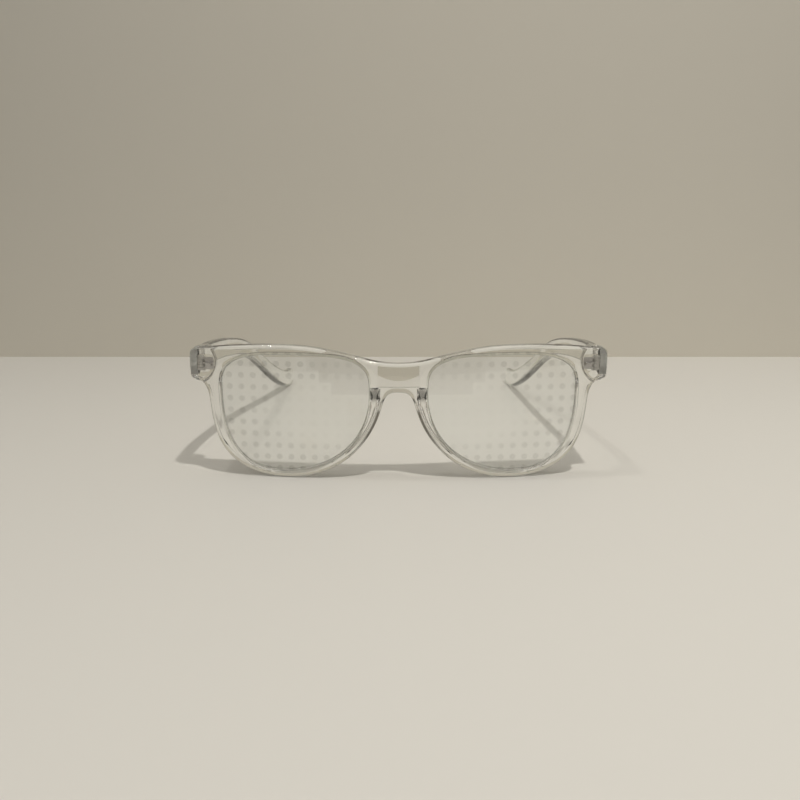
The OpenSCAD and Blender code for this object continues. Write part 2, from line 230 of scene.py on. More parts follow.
@dataclass(frozen=True)
class ClearPlastic:
    """Polished clear polycarbonate with faint flow waves and handling haze.

    Shade is painted into its colour where the moulding looks darker because it turns the view
    away from what lies behind it: along the rims' edges, on their sides towards nose and
    temples, and on top of the nose pads. The mitre faces at the hinges are matt, with faint saw
    marks, and polished at both ends. Depths run backwards from the front's foremost line, and
    distances out run sideways from the middle.

    Attributes:
        name: the material's name.
        tint: colour of the plastic seen straight through.
        edge_tint: its colour at the rims' edges, a painted shade.
        painted_side_shade: its colour on the dark sides and pads, a painted shade.
        ior: how strongly it bends light.
        wave_depth: depth of the flow waves, in metres.
        polish: roughness where it is polished.
        haze: roughness that handling adds in patches.
        matt: roughness that the matt layer adds.
        edge_turn: how far a surface is turned from the eye where the painted edge shade comes in.
        front_end: depths over which the front's tints, which are painted shade, fade out.
        nose_out: distances out over which the painted shade of the nose sides fades out.
        nose_low: heights over which it comes in.
        nose_high: heights over which it fades out.
        nose_turn: how far a side is turned towards the nose where it comes in.
        temple_out: distances out over which the painted shade of the temple sides comes in.
        temple_low: heights over which it comes in.
        temple_high: heights over which it fades out.
        temple_turn: how far a side is turned towards the temple where it comes in.
        temple_share: its strength.
        pad_back: depths over which the painted shade of the pads' tops comes in.
        pad_low: heights over which it comes in.
        pad_out: distances out over which it fades out.
        pad_share: its strength.
        mitre_depth: depth of the mitre faces.
        mitre_layer: distances from them over which the matt layer ends.
        mitre_out: distances out over which the matt layer comes in.
        mitre_z: height of the mitre faces' middle.
        mitre_ends: distances from it, up and down, over which the polish comes in.
        saw_pitch: distance between two saw marks.
    """

    name: str = "clear_polycarbonate"
    tint: Colour = (0.97, 0.975, 0.96)
    edge_tint: Colour = (0.3, 0.3, 0.28)
    painted_side_shade: Colour = (0.08, 0.07, 0.055)
    ior: float = 1.57
    wave_depth: float = 0.00004
    polish: float = 0.01
    haze: float = 0.03
    matt: float = 0.9
    edge_turn: Span = (0.35, 0.85)
    front_end: Span = (15.0, 18.0)
    nose_out: Span = (14.0, 20.0)
    nose_low: Span = (8.0, 17.0)
    nose_high: Span = (24.5, 26.0)
    nose_turn: Span = (0.02, 0.4)
    temple_out: Span = (58.0, 63.0)
    temple_low: Span = (8.0, 22.0)
    temple_high: Span = (35.0, 36.0)
    temple_turn: Span = (0.3, 0.9)
    temple_share: float = 0.8
    pad_back: Span = (4.4, 5.2)
    pad_low: Span = (26.5, 28.0)
    pad_out: Span = (13.0, 14.0)
    pad_share: float = 0.65
    mitre_depth: float = 14.48
    mitre_layer: Span = (0.14, 0.22)
    mitre_out: Span = (71.2, 71.6)
    mitre_z: float = 41.2
    mitre_ends: Span = (1.8, 2.6)
    saw_pitch: float = 0.8

    def painted_shade_share(self, s: Shader, x: Value, depth: Value, z: Value) -> Value:
        """Finds where shade is painted: the sides of the rims and the pads' tops that look dark.

        Args:
            s: the shader under construction.
            x: place along the front.
            depth: distance behind the front's foremost line.
            z: height over the table.

        Returns:
            The share of the painted shade, from 0 to 1.
        """
        out = x.math("ABSOLUTE")
        normal = s.node("SeparateXYZ", None, {0: s.value("NewGeometry", output="Normal")})
        outwards = 1.0 - s.value("NewGeometry", output="Backfacing") * 2.0
        from_nose = Value(s, normal.outputs["X"]) * outwards * x.math("SIGN")
        by_nose = (1.0 - out.ramp(*self.nose_out)) * z.within(self.nose_low, self.nose_high)
        by_temple = (out.ramp(*self.temple_out) * z.within(self.temple_low, self.temple_high)
                     * (1.0 - depth.ramp(*self.front_end)))
        pad_top = (depth.ramp(*self.pad_back) * z.ramp(*self.pad_low)
                   * (1.0 - out.ramp(*self.pad_out)))
        return (by_nose * (-from_nose).ramp(*self.nose_turn)
                + by_temple * from_nose.ramp(*self.temple_turn) * self.temple_share
                + pad_top * self.pad_share).clamped()

    def material(self) -> bpy.types.Material:
        """Builds the material.

        Returns:
            The material.
        """
        s = Shader.of_material(self.name)
        haze = s.noise(420.0).ramp(0.55, 0.75)
        waves = s.value("Bump", None, {
            "Strength": 1.0, "Distance": self.wave_depth, "Height": s.noise(90.0, 1.0)})
        x, y, z = s.place()
        depth = y + OVERALL_DEPTH / 2
        facing = s.value("LayerWeight", None, {"Blend": 0.5}, "Facing")
        edge = facing.ramp(*self.edge_turn) * (1.0 - depth.ramp(*self.front_end))
        from_mitre = (depth - self.mitre_depth).math("ABSOLUTE")
        matt = (1.0 - from_mitre.ramp(*self.mitre_layer)) * x.math("ABSOLUTE").ramp(*self.mitre_out)
        ends = (z - self.mitre_z).math("ABSOLUTE").ramp(*self.mitre_ends)
        saw_marks = (z * (2 * math.pi / self.saw_pitch)).math("SINE").ramp(-0.2, 0.8)
        # painted shade: the edge tint darkens the rims' edges where the surface turns from the eye
        body = s.mix(edge, self.tint, self.edge_tint)
        shader = s.node("BsdfPrincipled", None, {
            # painted shade: the side tint darkens the rims' nose and temple sides and the pads' tops
            "Base Color": s.mix(self.painted_shade_share(s, x, depth, z), body, self.painted_side_shade),
            "Roughness": self.polish + haze * self.haze + matt * (self.matt - ends * 0.5),
            "Metallic": matt * (1.0 - ends * 0.7) * (1.0 - saw_marks * 0.2),
            "IOR": self.ior,
            "Transmission Weight": 1.0,
            "Normal": waves,
        })
        return s.finish(shader.outputs[0])


@dataclass(frozen=True)
class LensSheet:
    """Thin clear sheet with a faint green tint, a little greyer and duller where it is smeared."""

    name: str = "lens_sheet"
    tint: Colour = (0.985, 1.0, 0.995)
    smeared_tint: Colour = (0.965, 0.97, 0.95)
    ior: float = 1.49

    def material(self) -> bpy.types.Material:
        """Builds the material.

        Returns:
            The material.
        """
        s = Shader.of_material(self.name)
        smears = s.noise(60.0, 3.0).ramp(0.5, 0.8)
        shader = s.node("BsdfPrincipled", None, {
            "Base Color": s.mix(smears, self.tint, self.smeared_tint),
            "Roughness": 0.01 + smears * 0.02,
            "IOR": self.ior,
            "Transmission Weight": 1.0,
        })
        return s.finish(shader.outputs[0])


@dataclass(frozen=True)
class DiffractionFilm:
    """Film whose fine grating shows as a milky haze with a square grid of faint round dots.

    The dots and the haze fade out towards a clear place on the nose side of the middle. A
    painted shade, stepped along the grid, lies over the nose side of the top.

    Attributes:
        side: which lens it lies behind, for the grid's place.
        column: X of one column of dots, measured outwards from the middle.
        haze: how much of the light the clear place scatters.
        pitch: distance between dots.
        row: Z of one row of dots.
        dot_edge: distances from a dot's middle, in pitches, over which it ends.
        clear_at: X outwards and Z of the clear place's middle.
        clear_reach: distances along X and Z by which its reach is counted.
        grows: how far out, counted so, the film comes to its full strength.
        painted_shade_row: how many rows over the grid's first the stepped painted shade starts.
        dots_in_clear: how much of their tint the dots keep in the clear place.
        milk: alpha that the film adds at full strength.
        dot_milk: alpha that a dot adds to that.
        painted_shade_milk: alpha that the stepped painted shade adds.
        tints: the two tints that the clear place drifts between.
        edge_tint: tint of the film at full strength.
        dot_tint: tint of the dots.
        painted_shade_tint: tint of the stepped painted shade.
    """

    side: Side
    column: float
    haze: float
    pitch: float = 4.28
    row: float = 7.0
    dot_edge: Span = (0.2, 0.31)
    clear_at: Span = (24.0, 23.5)
    clear_reach: Span = (35.0, 17.5)
    grows: Span = (0.42, 0.95)
    painted_shade_row: float = 5.3
    dots_in_clear: float = 0.45
    milk: float = 0.042
    dot_milk: float = 0.045
    painted_shade_milk: float = 0.024
    tints: tuple[Colour, Colour] = ((0.97, 0.99, 0.80), (0.86, 0.96, 0.86))
    edge_tint: Colour = (0.97, 0.95, 0.90)
    dot_tint: Colour = (0.3, 0.28, 0.23)
    painted_shade_tint: Colour = (0.55, 0.50, 0.42)

    def material(self) -> bpy.types.Material:
        """Builds the material.

        Returns:
            The material.
        """
        s = Shader.of_material(f"diffraction_film_{self.side.word}")
        x, _, z = s.place()
        u = x * float(self.side.value)
        across = (u - self.column) / self.pitch
        up = (z - self.row) / self.pitch
        du = across - across.math("ROUND")
        dz = up - up.math("ROUND")
        dot = 1.0 - (du * du + dz * dz).math("SQRT").ramp(*self.dot_edge)
        far_u = (u - self.clear_at[0]) / self.clear_reach[0]
        far_z = (z - self.clear_at[1]) / self.clear_reach[1]
        strength = (far_u * far_u + far_z * far_z).math("SQRT").ramp(*self.grows)
        # painted shade: a darker tint stepped along the grid over the nose side of the top
        step = (across.math("ROUND") + 1.0).math("MAXIMUM", 0.0) + self.painted_shade_row
        shade = (up.math("ROUND") - step).ramp(0.2, 0.6) * (1.0 - far_u.ramp(0.1, 0.35))
        clear = s.mix(s.noise(45.0, 1.0).ramp(0.35, 0.65), *self.tints)
        pale = s.mix(strength, clear, self.edge_tint)
        dot_share = dot * (self.dots_in_clear + strength * (1 - self.dots_in_clear))
        dotted = s.mix(dot_share, pale, self.dot_tint)
        alpha = (self.haze + strength * self.milk + dot * strength * self.dot_milk
                 + shade * self.painted_shade_milk)
        shader = s.node("BsdfPrincipled", None, {
            "Base Color": s.mix(shade, dotted, self.painted_shade_tint),
            "Roughness": 0.3,
            "Alpha": alpha.clamped(),
            "IOR": 1.45,
        })
        return s.finish(shader.outputs[0])


@dataclass(frozen=True)
class PlainMetal:
    """Pressed or turned metal with fine lines of wear.

    Attributes:
        name: the material's name.
        colour: its colour where it is bright.
        roughness: its least roughness.
        dull_share: brightness of its dull spots as a share of the colour.
        line_depth: depth of the lines, in metres.
    """

    name: str
    colour: Colour
    roughness: float
    dull_share: float = 0.7
    line_depth: float = 0.00001

    def material(self) -> bpy.types.Material:
        """Builds the material.

        Returns:
            The material.
        """
        s = Shader.of_material(self.name)
        grain = s.noise(9000.0, 3.0)
        lines = s.value("Bump", None, {"Strength": 0.4, "Distance": self.line_depth, "Height": grain})
        dull = tuple(c * self.dull_share for c in self.colour)
        shader = s.node("BsdfPrincipled", None, {
            "Base Color": s.mix(grain.ramp(0.35, 0.6), dull, self.colour),
            "Metallic": 1.0,
            "Roughness": self.roughness + grain * 0.15,
            "Normal": lines,
        })
        return s.finish(shader.outputs[0])


@dataclass(frozen=True)
class PaintedSurface:
    """The table top or the wall: a plain pale paint, darker to the left by a little painted shade.

    Attributes:
        name: the material's name.
        colour: its colour at the right.
        roughness: its roughness.
        painted_shade_left: brightness of the painted shade at the left as a share of that colour.
        fade_over: places along X over which the painted shade gives way to full brightness.
        see_through_behind: whether it is clear from behind.
    """

    name: str
    colour: Colour
    roughness: float
    painted_shade_left: float = 0.91
    fade_over: Span = (-260.0, 260.0)
    see_through_behind: bool = False

    def material(self) -> bpy.types.Material:
        """Builds the material.

        Returns:
            The material.
        """
        s = Shader.of_material(self.name)
        x, _, _ = s.place()
        # painted shade: darker to the left, with random patches of tone from the noise
        bright = x.ramp(*self.fade_over) * 0.85 + s.noise(3.0) * 0.15
        left = tuple(c * self.painted_shade_left for c in self.colour)
        paint = s.node("BsdfPrincipled", None, {
            "Base Color": s.mix(bright, left, self.colour),
            "Roughness": self.roughness,
            "Specular IOR Level": 0.3,
        })
        if not self.see_through_behind:
            return s.finish(paint.outputs[0])
        both = s.node("MixShader", None, {
            0: s.value("NewGeometry", output="Backfacing"),
            1: Value(s, paint.outputs[0]),
            2: s.value("BsdfTransparent"),
        })
        return s.finish(both.outputs[0])


# Curves and meshes


def unit(v: np.ndarray) -> np.ndarray:
    """The vector, or each row of vectors, at length 1."""
    return v / np.linalg.norm(v, axis=-1, keepdims=True)


def rise(x: float | np.ndarray, low: float, high: float) -> float | np.ndarray:
    """A smooth step from 0 at low to 1 at high."""
    t = np.clip((x - low) / (high - low), 0.0, 1.0)
    return t * t * (3.0 - 2.0 * t)


def spline_points(rows: np.ndarray, steps: int) -> np.ndarray:
    """Finds cubic B-spline points through the inner spans of rows.

    Args:
        rows: control rows, one more before the first span and two more after the last.
        steps: points in each span.

    Returns:
        The points, without the last span's end.
    """
    out = []
    for i in range(len(rows) - 3):
        a, b, c, d = rows[i:i + 4]
        for k in range(steps):
            t = k / steps
            out.append(((1 - t) ** 3 * a + (3 * t ** 3 - 6 * t ** 2 + 4) * b
                        + (1 + 3 * t + 3 * t ** 2 - 3 * t ** 3) * c + t ** 3 * d) / 6)
    return np.array(out)


def new_object(name: str, points: np.ndarray, faces: list[tuple[int, ...]]) -> bpy.types.Object:
    """Makes a mesh object from design points in millimetres.

    Args:
        name: the object's name.
        points: rows of X, Y, Z in the design frame.
        faces: corner numbers of each face.

    Returns:
        The object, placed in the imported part's frame.
    """
    shifted = (np.asarray(points, float) - [0.0, OVERALL_DEPTH / 2, 0.0]) * MM
    mesh = bpy.data.meshes.new(name)
    mesh.from_pydata(shifted.tolist(), [], faces)
    mesh.update()
    made = bpy.data.objects.new(name, mesh)
    bpy.context.scene.collection.objects.link(made)
    return made


def skin(name: str, rows: Rows, ring: bool = False) -> bpy.types.Object:
    """Makes a closed skin over closed sections that follow one another.

    Args:
        name: the object's name.
        rows: the sections, all with as many points.
        ring: whether the last section joins the first; otherwise both ends are capped.

    Returns:
        The object, with its faces outwards.
    """
    n, m = len(rows), len(rows[0])
    faces = [(i * m + j, i * m + (j + 1) % m, (i + 1) % n * m + (j + 1) % m, (i + 1) % n * m + j)
             for i in range(n if ring else n - 1) for j in range(m)]
    if not ring:
        faces += [tuple(range(m - 1, -1, -1)), tuple((n - 1) * m + j for j in range(m))]
    made = new_object(name, np.concatenate(rows), faces)
    tidy_mesh(made)
    return made


def block(name: str, low: Sequence[float], high: Sequence[float]) -> bpy.types.Object:
    """Makes a box between two corners, as a carving tool.

    Args:
        name: the object's name.
        low: its lowest corner.
        high: its highest corner.

    Returns:
        The box.
    """
    corners = [(x, y, z) for x in (low[0], high[0]) for y in (low[1], high[1]) for z in (low[2], high[2])]
    made = new_object(name, np.array(corners), [
        (0, 1, 3, 2), (4, 6, 7, 5), (0, 4, 5, 1), (2, 3, 7, 6), (0, 2, 6, 4), (1, 5, 7, 3)])
    tidy_mesh(made)
    return made


def tidy_mesh(piece: bpy.types.Object, merge: float = 1e-7) -> None:
    """Merges double points and turns the faces outwards.

    Args:
        piece: the piece to tidy.
        merge: distance in metres within which points are one.
    """
    shape = bmesh.new()
    shape.from_mesh(piece.data)
    bmesh.ops.remove_doubles(shape, verts=shape.verts, dist=merge)
    bmesh.ops.recalc_face_normals(shape, faces=shape.faces)
    shape.to_mesh(piece.data)
    shape.free()


def mirror(mesh: bpy.types.Mesh) -> None:
    """Mirrors a mesh to the other side, with its faces still outwards."""
    mesh.transform(((-1, 0, 0, 0), (0, 1, 0, 0), (0, 0, 1, 0), (0, 0, 0, 1)))
    mesh.flip_normals()


def carve(piece: bpy.types.Object, tool: bpy.types.Object, cut: Cut) -> None:
    """Joins a tool to a piece or takes it away, and removes the tool.

    Args:
        piece: the piece that is changed.
        tool: a closed mesh.
        cut: what the tool does.
    """
    change = piece.modifiers.new("carve", "BOOLEAN")
    change.operation, change.solver, change.object = cut.value, "EXACT", tool
    evaluated = piece.evaluated_get(bpy.context.evaluated_depsgraph_get())
    shape = bpy.data.meshes.new_from_object(evaluated)
    piece.modifiers.clear()
    old, piece.data = piece.data, shape
    bpy.data.meshes.remove(old)
    bpy.data.objects.remove(tool)


def dress(piece: bpy.types.Object, material: bpy.types.Material, crease: float = 32.0) -> None:
    """Gives a piece its finish and smooth shading.

    Args:
        piece: the piece to dress.
        material: its finish.
        crease: angle in degrees from which an edge stays sharp.
    """
    piece.data.materials.clear()
    piece.data.materials.append(material)
    piece.data.shade_smooth()
    piece.data.set_sharp_from_angle(angle=math.radians(crease))


# The pieces of the glasses


@dataclass(frozen=True)
class LensOutline:
    """The lens opening on the left side: four quarters of superellipses round one centre.

    Attributes:
        width: width of the opening.
        height: height of the opening.
        bridge: gap between the two openings.
        bottom: rim below the lens.
        share_out: part of the width on the temple side of the centre.
        share_up: part of the height over the centre.
        squareness: exponents at the temple top, nose top, nose bottom and temple bottom.
    """

    width: float = 52.6
    height: float = 42.4
    bridge: float = 20.8
    bottom: float = 2.4
    share_out: float = 0.41
    share_up: float = 0.31
    squareness: tuple[float, float, float, float] = (2.8, 3.5, 2.15, 2.6)

    @property
    def centre(self) -> np.ndarray:
        """The centre that the angles go round, as X and Z."""
        return np.array([self.bridge / 2 + (1 - self.share_out) * self.width,
                         self.bottom + (1 - self.share_up) * self.height])

    def edge(self, degrees: float | np.ndarray) -> np.ndarray:
        """Finds points of the opening's edge.

        Args:
            degrees: one or more angles round the centre, from 0 at the temple side.

        Returns:
            The points, as X and Z.
        """
        c, s = np.cos(np.radians(degrees)), np.sin(np.radians(degrees))
        wide = np.where(c > 0, self.share_out, 1 - self.share_out) * self.width
        tall = np.where(s > 0, self.share_up, 1 - self.share_up) * self.height
        n = np.where(s > 0, np.where(c > 0, self.squareness[0], self.squareness[1]),
                     np.where(c > 0, self.squareness[3], self.squareness[2]))
        reach = ((np.abs(c) / wide) ** n + (np.abs(s) / tall) ** n) ** (-1 / n)
        return self.centre + reach[..., None] * np.stack([c, s], axis=-1)

    def outwards(self, degrees: float | np.ndarray) -> np.ndarray:
        """Directions square to the edge, away from the lens."""
        along = unit(self.edge(np.asarray(degrees) + 0.5) - self.edge(np.asarray(degrees) - 0.5))
        return np.stack([along[..., 1], -along[..., 0]], axis=-1)

    def beside(self, degrees: float | np.ndarray, width: float) -> np.ndarray:
        """Points at a distance outside the edge."""
        return self.edge(np.asarray(degrees)) + width * self.outwards(degrees)

    def angles_of(self, points: np.ndarray) -> np.ndarray:
        """Angles of some points round the centre, in degrees from 0 to 360."""
        off = points - self.centre
        return np.degrees(np.arctan2(off[:, 1], off[:, 0])) % 360


@dataclass(frozen=True)
class Hinge:
    """The barrel hinge on the left side, with a leaf seated in each moulding.

    Attributes:
        x: X of the screw's axis.
        y: Y of the screw's axis.
        z: height of the leaves' middle.
        barrel_r: radius of the barrels.
        room: clearance round the barrels.
        stack_low: height of the stack of barrels' lower end.
        stack_high: height of its upper end.
        head_h: height of the screw's head over the stack.
        leaf_t: thickness of the leaves.
        leaf_h: height of the leaves.
        front_leaf_w: width of the front leaf.
        temple_leaf_len: length of the temple leaf behind the axis.
        tight: how much smaller a seat is than its leaf, so that metal meets plastic.
    """

    x: float = 70.3
    y: float = 14.475
    z: float = 40.2
    barrel_r: float = 1.25
    room: float = 0.1
    stack_low: float = 37.7
    stack_high: float = 42.62
    head_h: float = 0.55
    leaf_t: float = 0.8
    leaf_h: float = 4.4
    front_leaf_w: float = 4.6
    temple_leaf_len: float = 9.5
    tight: float = 0.02

    def recess(self, low: Span, high: Span) -> bpy.types.Object:
        """The open space round the barrels, from corners given as X and Y from the screw's axis."""
        return block("hinge_recess", (self.x + low[0], self.y + low[1], self.stack_low - self.room),
                     (self.x + high[0], self.y + high[1], self.stack_high + self.head_h + self.room))

    def seat(self, low: Span, high: Span) -> bpy.types.Object:
        """The space that a leaf's plate fills, from corners given as X and Y."""
        return block("leaf_seat", (*low, self.z - self.leaf_h / 2 + self.tight),
                     (*high, self.z + self.leaf_h / 2 - self.tight))


@dataclass(frozen=True)
class NosePad:
    """The nose pad moulded onto the left rim's back.

    Attributes:
        top: height of its upper end.
        climb: pairs of a distance below that and its height over the rim there.
        angles: angles round the lens at which it starts, begins to run out and ends.
        reach: distance from the lens opening within which it lies.
        middle: greatest distance of its middle from the opening.
        half: its greatest half width.
        shift: how far from the flat's middle it may lie on a narrow rim.
        margins: how far it stays from the opening, and may reach past the flat.
        squareness: exponents of its section at its top and further down.
        eases: distances below the top over which the section changes.
    """

    top: float = 33.2
    climb: tuple[Span, ...] = ((0.0, 0.0), (0.5, 0.36), (5.6, 3.3), (9.0, 3.4))
    angles: tuple[float, float, float] = (170.0, 206.0, 226.0)
    reach: float = 4.4
    middle: float = 2.15
    half: float = 1.9
    shift: float = 0.15
    margins: Span = (0.25, 0.5)
    squareness: Span = (3.4, 2.0)
    eases: Span = (4.0, 8.0)

    def height(self, z: float, angle: float, from_lens: float, flat: Span) -> float:
        """Finds the pad's height over the rim's back.

        Args:
            z: height over the table.
            angle: angle round the lens, in degrees from 0 to 360.
            from_lens: distance from the lens opening.
            flat: distances from the opening between which the rim's back is flat.

        Returns:
            The height, 0 away from the pad.
        """
        below = self.top - z
        start, fall, end = self.angles
        if not start < angle < end or below < 0:
            return 0.0
        middle = min(self.middle, (flat[0] + flat[1]) / 2 + self.shift)
        half = min(self.half, middle - self.margins[0], flat[1] - middle + self.margins[1])
        off = abs(from_lens - middle) / half
        if off >= 1:
            return 0.0
        square, soft = self.squareness
        n = square - (square - soft) * float(rise(below, *self.eases))
        lack = max((angle - fall) / (end - fall), 0.0)
        climb = np.interp(below, *zip(*self.climb))
        return climb * math.sqrt(1 - lack * lack) * (1 - off ** n) ** (1 / n)


@dataclass(frozen=True)
class EndBlock:
    """The block behind the left end piece, flush outside and round on its inner side.

    Attributes:
        hinge: the left hinge, whose front leaf is seated in its back.
        from_side: how far the round side's middle lies in from the front's end.
        over_leaf: how far it lies over the leaf's middle.
        r: radius of the round side.
        start: depth at which the block starts inside the front.
        back: depth of its back, the mitre face.
        root: how much wider the round side is at the start.
        rounding: pairs of a distance from the back and how far the wall is drawn in there.
        flush: how far it stays inside the front's outline.
        turn: degrees between two points of its wall.
        beside_barrels: room beside the barrels, over their own.
        past: how far the tool for it reaches out behind.
    """

    hinge: Hinge
    from_side: float = 1.8
    over_leaf: float = 0.4
    r: float = 7.1
    start: float = 8.2
    back: float = 14.4
    root: float = 0.5
    rounding: tuple[Span, ...] = ((0.4, 0.0), (0.23, 0.06), (0.1, 0.17), (0.0, 0.4))
    flush: float = 0.02
    turn: float = 1.5
    beside_barrels: float = 0.25
    past: float = 2.0

    @property
    def middle(self) -> np.ndarray:
        """Middle of the round side, as X and Z."""
        return np.array([HALF_WIDTH - self.from_side, self.hinge.z + self.over_leaf])

    def wall(self, outline: np.ndarray, c: float, s: float) -> float:
        """Finds how far the block reaches from its middle.

        Args:
            outline: the front's outline, as rows of X and Z.
            c: cosine of the direction.
            s: sine of the direction.

        Returns:
            The distance, which is at most the round side's radius towards the lens.
        """
        along, off = np.roll(outline, -1, axis=0) - outline, outline - self.middle
        cross = c * along[:, 1] - s * along[:, 0]
        with np.errstate(divide="ignore", invalid="ignore"):
            t = (off[:, 0] * along[:, 1] - off[:, 1] * along[:, 0]) / cross
            u = (off[:, 0] * s - off[:, 1] * c) / cross
        reach = t[(u >= 0) & (u <= 1) & (t > 0)].min() - self.flush
        return min(self.r, reach) if c < 0 else reach

    def body(self, outline: np.ndarray) -> bpy.types.Object:
        """Builds the block.

        Args:
            outline: the front's outline, as rows of X and Z.

        Returns:
            The block, as a tool to join to the front.
        """
        angles = np.radians(np.arange(0, 360, self.turn))
        c, s = np.cos(angles), np.sin(angles)
        reach = np.array([self.wall(outline, *way) for way in zip(c, s)])
        levels = [(self.start, -self.root)] + [(self.back - off, less) for off, less in self.rounding]
        middle, rows = self.middle, []
        for y, less in levels:
            r = reach - np.where(c < 0, less, max(less, 0.0))
            rows.append(np.stack([middle[0] + r * c, np.full_like(r, y), middle[1] + r * s], axis=-1))
        return skin("end_block", rows)

    def leaf_seat(self) -> bpy.types.Object:
        """The space for the front leaf's plate, as a tool to take away."""
        h = self.hinge
        return h.seat((h.x - h.front_leaf_w + h.tight, self.back - h.leaf_t + h.tight),
                      (h.x - h.barrel_r - h.room, self.back + 0.05))

    def barrel_room(self) -> bpy.types.Object:
        """The space for the barrels, as a tool to take away."""
        room = self.hinge.barrel_r + self.hinge.room
        return self.hinge.recess((-room - self.beside_barrels, -room), (room, self.past))

    def tools(self, outline: np.ndarray) -> list[tuple[bpy.types.Object, Cut]]:
        """The block and the spaces in its back, each with what it does to the front."""
        return [(self.body(outline), Cut.JOIN), (self.leaf_seat(), Cut.TAKE_AWAY),
                (self.barrel_room(), Cut.TAKE_AWAY)]


@dataclass(frozen=True)
class BridgeHollow:
    """The hollow behind the bridge, deepest at its foot and in the middle.

    Attributes:
        depth: its depth.
        half_w: half its width.
        foot: distance over the nose arch at which it starts.
        fade: how much shallower it is at its two ends.
        floor: straight and curved shares of its floor's rise.
        past: how far the tool's upper end and its back lie behind the bridge's back.
        points: numbers of points along its width and its height.
    """

    depth: float = 1.0
    half_w: float = 7.25
    foot: float = 1.6
    fade: float = 0.38
    floor: Span = (0.68, 0.32)
    past: Span = (0.002, 4.0)
    points: tuple[int, int] = (30, 25)

    def body(self, low: float, high: float, back: float) -> bpy.types.Object:
        """Builds the hollow.

        Args:
            low: height at which it starts.
            high: height at which it ends.
            back: Y of the bridge's back.

        Returns:
            The hollow, as a tool to take away from the front.
        """
        straight, curved = self.floor
        surface, behind = back + self.past[0], back + self.past[1]
        rows = []
        for x in np.linspace(-self.half_w, self.half_w, self.points[0]):
            keep = 1 - self.fade * (x / self.half_w) ** 2
            arc = [(x, surface - self.depth * keep, low)]
            for up in np.linspace(0.0, 1.0, self.points[1]):
                off = self.depth * (straight * up + curved * up * up)
                arc.append((x, surface + (off - self.depth) * keep, low + 0.01 + up * (high - low)))
            rows.append(np.array(arc + [(x, behind, arc[-1][2]), (x, behind, low)]))
        return skin("bridge_hollow", rows)


